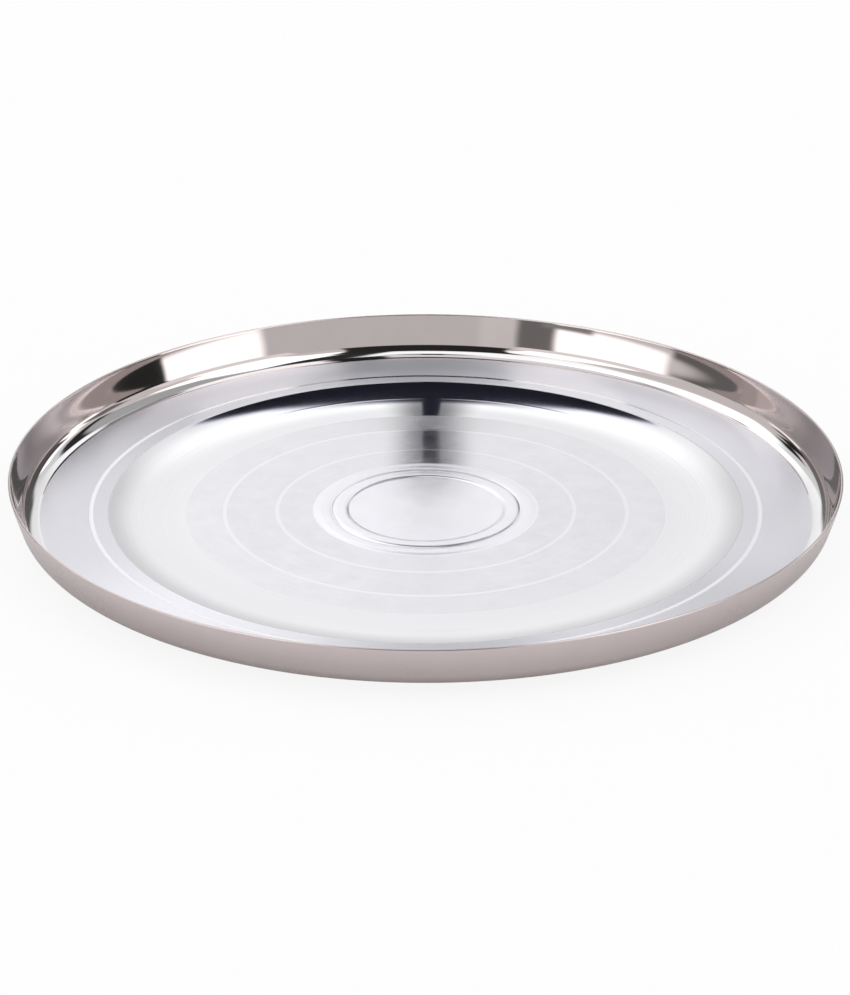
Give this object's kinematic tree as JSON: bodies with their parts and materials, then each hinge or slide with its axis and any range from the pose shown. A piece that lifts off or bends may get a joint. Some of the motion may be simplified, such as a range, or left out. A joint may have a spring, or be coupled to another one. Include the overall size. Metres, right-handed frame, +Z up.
{
  "type": "plate",
  "caption": "Round stainless steel dinner plate: a shallow satin well with pressed rings, a polished ledge and a low mirror-bright side wall that keeps a served meal in.",
  "frame": {"origin": "on the table under the plate's centre", "axes": "+Z up along the plate's axis; the plate is round, so X and Y are any two directions across the rim"},
  "size_m": [0.3, 0.3, 0.019],
  "materials": {
    "satin_floor": "satin, turned in circles",
    "polished_ledge": "polished",
    "mirror_wall": "mirror polished inside, fine satin outside"
  },
  "bodies": {
    "root": {"well_floor": "satin_floor", "ledge_ring": "polished_ledge", "foot_bend": "mirror_wall", "rim_wall": "mirror_wall"}
  },
  "joints": []
}
